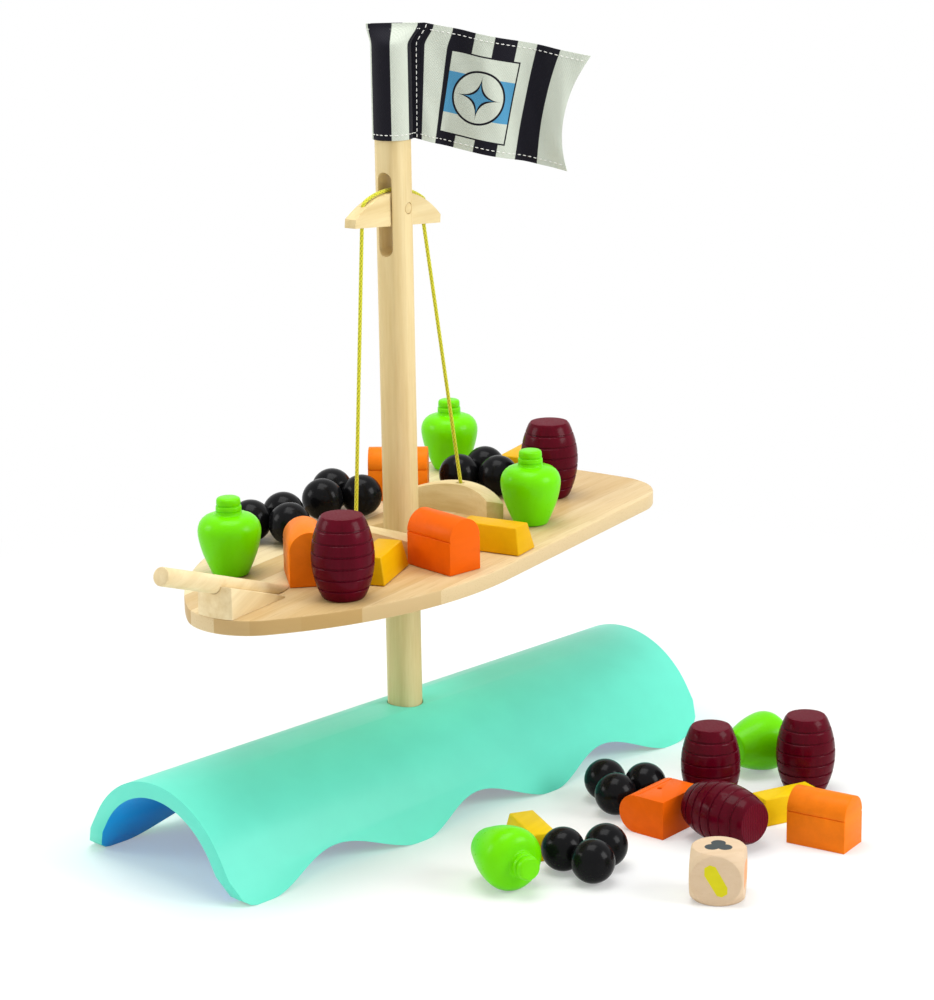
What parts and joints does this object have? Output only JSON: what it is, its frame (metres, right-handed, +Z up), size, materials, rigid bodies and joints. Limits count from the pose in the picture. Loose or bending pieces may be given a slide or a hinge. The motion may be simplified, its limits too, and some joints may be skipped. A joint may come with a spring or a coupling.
{
  "type": "balancing boat game",
  "caption": "wooden balancing game: a boat-shaped deck hangs by a cord from a rocking yard on a mast, over a wave-shaped stand, with small cargo to load, a die and a flag",
  "frame": {"origin": "on the table under the mast's centre line, on the bottom of the mast step", "axes": "+Z up along the mast, bow of the boat along -X, far side +Y"},
  "size_m": [0.4186, 0.3663, 0.4405],
  "materials": {
    "mint_lacquer": "satin mint lacquer on bent wood, blue inside",
    "beech": "fine sanded pale wood, clear oiled",
    "deck_wood": "laminated strips, clear oiled",
    "cord": "braided yellow-green cord",
    "flag_cloth": "woven cotton, striped, with white stitching",
    "green_paint": "satin paint",
    "maroon_paint": "satin paint",
    "black_paint": "satin paint",
    "orange_paint": "satin paint",
    "yellow_paint": "satin paint",
    "die_wood": "plain sanded wood with painted marks"
  },
  "bodies": {
    "base": {"wave_base": "mint_lacquer", "mast_step": "beech"},
    "mast": {"mast": "beech", "yard_pin": "beech"},
    "yard": {"yard": "beech", "yard_cord": "cord"},
    "fore_cord": {"fore_cord": "cord"},
    "aft_cord": {"aft_cord": "cord"},
    "cord_ends": {"fore_knot": "cord", "aft_knot": "cord"},
    "deck": {"deck": "deck_wood", "fore_arch": "beech", "aft_arch": "beech", "bowsprit_block": "beech", "bowsprit": "beech"},
    "flag": {"flag": "flag_cloth"},
    "jar_1": {"jar_1": "green_paint"},
    "jar_2": {"jar_2": "green_paint"},
    "jar_3": {"jar_3": "green_paint"},
    "barrel_1": {"barrel_1": "maroon_paint"},
    "barrel_2": {"barrel_2": "maroon_paint"},
    "ball_trio_1": {"ball_trio_1": "black_paint"},
    "ball_trio_2": {"ball_trio_2": "black_paint"},
    "ball_trio_3": {"ball_trio_3": "black_paint"},
    "chest_1": {"chest_1": "orange_paint"},
    "chest_2": {"chest_2": "orange_paint"},
    "chest_3": {"chest_3": "orange_paint"},
    "ingot_1": {"ingot_1": "yellow_paint"},
    "ingot_2": {"ingot_2": "yellow_paint"},
    "ingot_3": {"ingot_3": "yellow_paint"},
    "jar_4": {"jar_4": "green_paint"},
    "jar_5": {"jar_5": "green_paint"},
    "barrel_3": {"barrel_3": "maroon_paint"},
    "barrel_4": {"barrel_4": "maroon_paint"},
    "barrel_5": {"barrel_5": "maroon_paint"},
    "ball_trio_4": {"ball_trio_4": "black_paint"},
    "ball_trio_5": {"ball_trio_5": "black_paint"},
    "chest_4": {"chest_4": "orange_paint"},
    "chest_5": {"chest_5": "orange_paint"},
    "ingot_4": {"ingot_4": "yellow_paint"},
    "ingot_5": {"ingot_5": "yellow_paint"},
    "die": {"die": "die_wood"}
  },
  "joints": [
    {"name": "mast_turn", "type": "hinge", "parent": "base", "child": "mast", "pos_m": [0, 0, 0.05], "axis": [0, 0, 1], "continuous": true},
    {"name": "yard_rock", "type": "hinge", "parent": "mast", "child": "yard", "pos_m": [0, 0, 0.34], "axis": [0, 1, 0], "range_deg": [-26.5, 13.5]},
    {"name": "deck_pitch", "type": "hinge", "parent": "mast", "child": "cord_ends", "pos_m": [0.0101, 0, 0.165], "axis": [0, 1, 0], "range_deg": [-14.4, 7.4]},
    {"name": "deck_roll", "type": "hinge", "parent": "cord_ends", "child": "deck", "pos_m": [0.0101, 0.001, 0.165], "axis": [1, 0, 0], "range_deg": [-7, 7]},
    {"name": "fore_cord_swing", "type": "hinge", "parent": "yard", "child": "fore_cord", "pos_m": [-0.03209, 0, 0.33218], "axis": [0, 1, 0], "range_deg": [-14.6, 28.6]},
    {"name": "aft_cord_swing", "type": "hinge", "parent": "yard", "child": "aft_cord", "pos_m": [0.02951, 0, 0.32516], "axis": [0, 1, 0], "range_deg": [-14.9, 29.1]},
    {"name": "flag_turn", "type": "hinge", "parent": "mast", "child": "flag", "pos_m": [0, 0, 0.4], "axis": [0, 0, 1], "continuous": true},
    {"name": "jar_1_lift", "type": "slide", "parent": "deck", "child": "jar_1", "axis": [0, 0, 1], "range_m": [0, 0.06]},
    {"name": "jar_2_lift", "type": "slide", "parent": "deck", "child": "jar_2", "axis": [0, 0, 1], "range_m": [0, 0.06]},
    {"name": "jar_3_lift", "type": "slide", "parent": "deck", "child": "jar_3", "axis": [0, 0, 1], "range_m": [0, 0.06]},
    {"name": "barrel_1_lift", "type": "slide", "parent": "deck", "child": "barrel_1", "axis": [0, 0, 1], "range_m": [0, 0.06]},
    {"name": "barrel_2_lift", "type": "slide", "parent": "deck", "child": "barrel_2", "axis": [0, 0, 1], "range_m": [0, 0.06]},
    {"name": "ball_trio_1_lift", "type": "slide", "parent": "deck", "child": "ball_trio_1", "axis": [0, 0, 1], "range_m": [0, 0.06]},
    {"name": "ball_trio_2_lift", "type": "slide", "parent": "deck", "child": "ball_trio_2", "axis": [0, 0, 1], "range_m": [0, 0.06]},
    {"name": "ball_trio_3_lift", "type": "slide", "parent": "deck", "child": "ball_trio_3", "axis": [0, 0, 1], "range_m": [0, 0.06]},
    {"name": "chest_1_lift", "type": "slide", "parent": "deck", "child": "chest_1", "axis": [0, 0, 1], "range_m": [0, 0.06]},
    {"name": "chest_2_lift", "type": "slide", "parent": "deck", "child": "chest_2", "axis": [0, 0, 1], "range_m": [0, 0.06]},
    {"name": "chest_3_lift", "type": "slide", "parent": "deck", "child": "chest_3", "axis": [0, 0, 1], "range_m": [0, 0.06]},
    {"name": "ingot_1_lift", "type": "slide", "parent": "deck", "child": "ingot_1", "axis": [0, 0, 1], "range_m": [0, 0.06]},
    {"name": "ingot_2_lift", "type": "slide", "parent": "deck", "child": "ingot_2", "axis": [0, 0, 1], "range_m": [0, 0.06]},
    {"name": "ingot_3_lift", "type": "slide", "parent": "deck", "child": "ingot_3", "axis": [0, 0, 1], "range_m": [0, 0.06]},
    {"name": "jar_4_lift", "type": "slide", "parent": "base", "child": "jar_4", "axis": [0, 0, 1], "range_m": [0, 0.06]},
    {"name": "jar_5_lift", "type": "slide", "parent": "base", "child": "jar_5", "axis": [0, 0, 1], "range_m": [0, 0.06]},
    {"name": "barrel_3_lift", "type": "slide", "parent": "base", "child": "barrel_3", "axis": [0, 0, 1], "range_m": [0, 0.06]},
    {"name": "barrel_4_lift", "type": "slide", "parent": "base", "child": "barrel_4", "axis": [0, 0, 1], "range_m": [0, 0.06]},
    {"name": "barrel_5_lift", "type": "slide", "parent": "base", "child": "barrel_5", "axis": [0, 0, 1], "range_m": [0, 0.06]},
    {"name": "ball_trio_4_lift", "type": "slide", "parent": "base", "child": "ball_trio_4", "axis": [0, 0, 1], "range_m": [0, 0.06]},
    {"name": "ball_trio_5_lift", "type": "slide", "parent": "base", "child": "ball_trio_5", "axis": [0, 0, 1], "range_m": [0, 0.06]},
    {"name": "chest_4_lift", "type": "slide", "parent": "base", "child": "chest_4", "axis": [0, 0, 1], "range_m": [0, 0.06]},
    {"name": "chest_5_lift", "type": "slide", "parent": "base", "child": "chest_5", "axis": [0, 0, 1], "range_m": [0, 0.06]},
    {"name": "ingot_4_lift", "type": "slide", "parent": "base", "child": "ingot_4", "axis": [0, 0, 1], "range_m": [0, 0.06]},
    {"name": "ingot_5_lift", "type": "slide", "parent": "base", "child": "ingot_5", "axis": [0, 0, 1], "range_m": [0, 0.06]},
    {"name": "die_lift", "type": "slide", "parent": "base", "child": "die", "axis": [0, 0, 1], "range_m": [0, 0.06]}
  ],
  "couplings": [
    {"joint": "deck_pitch", "follows": "yard_rock", "ratio": 0.5345},
    {"joint": "fore_cord_swing", "follows": "yard_rock", "ratio": -1.0738},
    {"joint": "aft_cord_swing", "follows": "yard_rock", "ratio": -1.0934}
  ]
}
